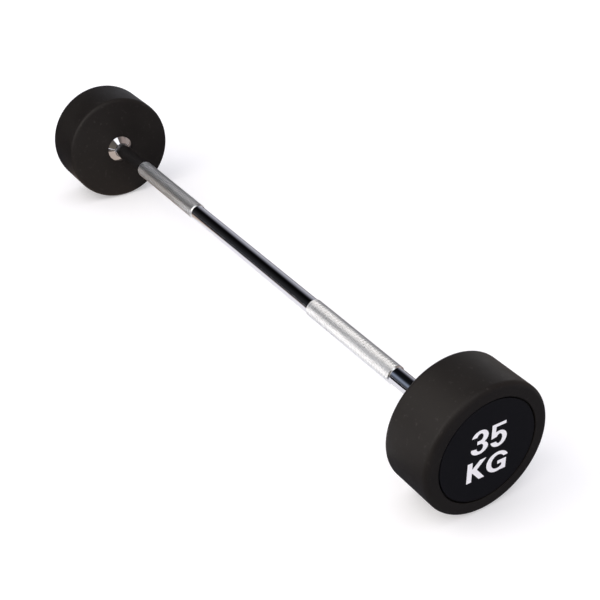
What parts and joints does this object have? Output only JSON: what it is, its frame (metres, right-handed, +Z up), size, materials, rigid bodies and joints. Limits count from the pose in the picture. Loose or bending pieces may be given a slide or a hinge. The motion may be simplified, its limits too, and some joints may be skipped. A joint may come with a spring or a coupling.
{
  "type": "fixed straight barbell",
  "caption": "Straight chromed barbell bar with knurled grips and a thick round rubber-covered head fixed on each end by a flanged sleeve, drive pins and an end bolt.",
  "frame": {"origin": "on the floor under the middle of the bar, where the two heads rest", "axes": "+X along the bar towards the right head, +Z up"},
  "size_m": [1.152, 0.1936, 0.1935],
  "materials": {
    "chrome": "polished chrome plate, knurled on the grips",
    "rubber": "satin moulded black rubber",
    "cap_plastic": "matt blue-black disc",
    "core_steel": "turned steel",
    "machined_steel": "machined steel",
    "black_steel": "black oxide"
  },
  "bodies": {
    "root": {"bar_shaft": "chrome", "right_collar_ring": "chrome", "right_head_jacket": "rubber", "right_head_core": "core_steel", "right_hub_sleeve": "machined_steel", "right_drive_pin_upper": "machined_steel", "right_drive_pin_lower": "machined_steel", "right_retaining_washer": "machined_steel", "right_lock_washer": "machined_steel", "right_retaining_bolt": "black_steel", "right_end_cap": "cap_plastic", "left_collar_ring": "chrome", "left_head_jacket": "rubber", "left_head_core": "core_steel", "left_hub_sleeve": "machined_steel", "left_drive_pin_upper": "machined_steel", "left_drive_pin_lower": "machined_steel", "left_retaining_washer": "machined_steel", "left_lock_washer": "machined_steel", "left_retaining_bolt": "black_steel", "left_end_cap": "cap_plastic"}
  },
  "joints": []
}
